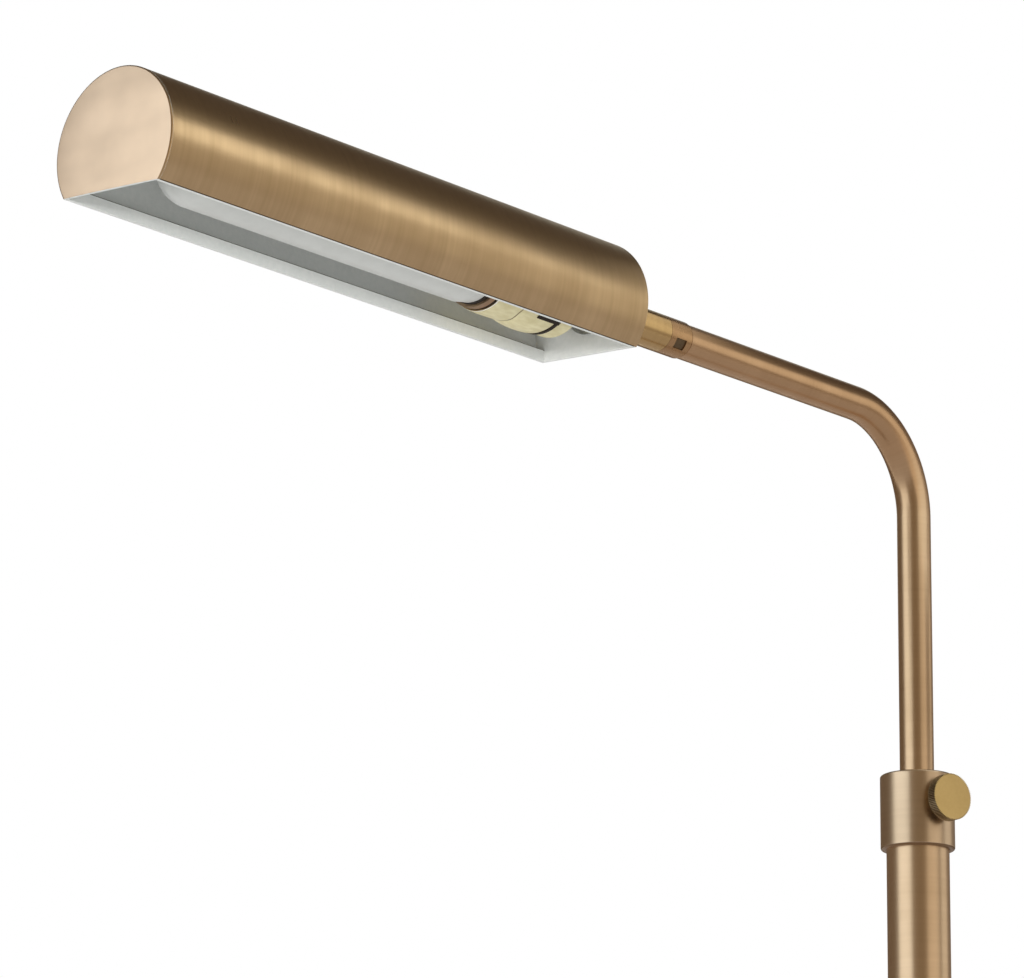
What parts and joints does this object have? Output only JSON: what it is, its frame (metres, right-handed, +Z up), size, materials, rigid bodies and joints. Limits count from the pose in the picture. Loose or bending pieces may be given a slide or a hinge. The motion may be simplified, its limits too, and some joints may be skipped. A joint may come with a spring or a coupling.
{
  "type": "floor lamp",
  "caption": "Slim brass reading floor lamp: trough shade on a bent arm that slides and swings in a pole with a knurled lock knob, on a round weighted base.",
  "frame": {"origin": "centre of the base's underside, on the floor", "axes": "+Z up along the pole, the arm and the shade point along -X, the foot switch is on -Y and the cord inlet on +X"},
  "size_m": [0.525, 0.25, 1.271],
  "materials": {
    "antique_brass": "brushed antique brass",
    "shade_brass": "brushed antique brass outside, white paint inside",
    "arm_brass": "satin antique brass",
    "turned_brass": "satin yellow brass",
    "contact_brass": "plain stamped brass",
    "lamp_cap": "dull brass",
    "zinc_steel": "zinc plated",
    "dark_steel": "blackened",
    "cast_iron": "as cast",
    "felt": "felt",
    "black_phenolic": "matte",
    "flex_sheath": "matte",
    "nylon": "natural",
    "cream_fibre": "satin",
    "opal_glass": "frosted white"
  },
  "bodies": {
    "stand": {"base_pad": "felt", "base_weight": "cast_iron", "base_cover": "antique_brass", "base_nipple": "zinc_steel", "base_washer": "zinc_steel", "base_nut": "zinc_steel", "cord_inlet_bush": "black_phenolic", "switch_body": "black_phenolic", "switch_contacts": "contact_brass", "switch_neck": "turned_brass", "switch_bezel": "antique_brass", "switch_spring": "zinc_steel", "pole_foot": "antique_brass", "pole_lower": "antique_brass", "pole_sleeve": "zinc_steel", "pole_upper": "antique_brass", "collar": "antique_brass", "top_guide": "nylon", "pole_flex": "flex_sheath"},
    "clamp_shoe": {"clamp_shoe": "turned_brass"},
    "lock_knob": {"lock_screw": "turned_brass", "lock_knob": "turned_brass"},
    "foot_button": {"foot_button": "turned_brass"},
    "glide": {"glide_bush": "nylon"},
    "arm": {"arm_tube": "arm_brass", "keeper_rings": "zinc_steel", "wire_plug": "nylon", "arm_flex": "flex_sheath", "swivel_coupler": "arm_brass", "stop_key": "dark_steel"},
    "shade": {"swivel_stub": "turned_brass", "spring_washer": "zinc_steel", "swivel_nut": "turned_brass", "shade_shell": "shade_brass", "front_cap": "shade_brass", "rear_cap": "shade_brass", "tooth_washer": "zinc_steel", "stub_nut": "turned_brass", "holder_base": "cream_fibre", "holder_screws": "zinc_steel", "holder_ring": "black_phenolic", "holder_sleeve": "cream_fibre", "screw_shell": "contact_brass", "centre_contact": "contact_brass", "bulb_glass": "opal_glass", "bulb_cap": "lamp_cap", "bulb_insulator": "black_phenolic", "bulb_tip": "contact_brass", "shade_flex": "flex_sheath"}
  },
  "joints": [
    {"name": "height_slide", "type": "slide", "parent": "stand", "child": "glide", "axis": [0, 0, 1], "range_m": [-0.085, 0.295]},
    {"name": "arm_swing", "type": "hinge", "parent": "glide", "child": "arm", "pos_m": [0, 0, 1.12], "axis": [0, 0, 1], "range_deg": [-170, 170]},
    {"name": "shade_roll", "type": "hinge", "parent": "arm", "child": "shade", "pos_m": [-0.1434, 0, 1.2485], "axis": [1, 0, 0], "range_deg": [-103.2, 96.8]},
    {"name": "lock_screw_travel", "type": "slide", "parent": "stand", "child": "clamp_shoe", "axis": [-0.2672, -0.9636, 0], "range_m": [0, 0.0012]},
    {"name": "lock_knob_turn", "type": "hinge", "parent": "clamp_shoe", "child": "lock_knob", "pos_m": [-0.00425, -0.01532, 1.1096], "axis": [-0.2672, -0.9636, 0], "range_deg": [0, 541]},
    {"name": "foot_button_press", "type": "slide", "parent": "stand", "child": "foot_button", "axis": [0, 0, -1], "range_m": [0, 0.0035], "stiffness_N_per_m": 800, "springref_m": -0.004, "deforming": ["switch_spring"]}
  ],
  "couplings": [
    {"joint": "lock_knob_turn", "follows": "lock_screw_travel", "rad_per_m": 7854}
  ]
}
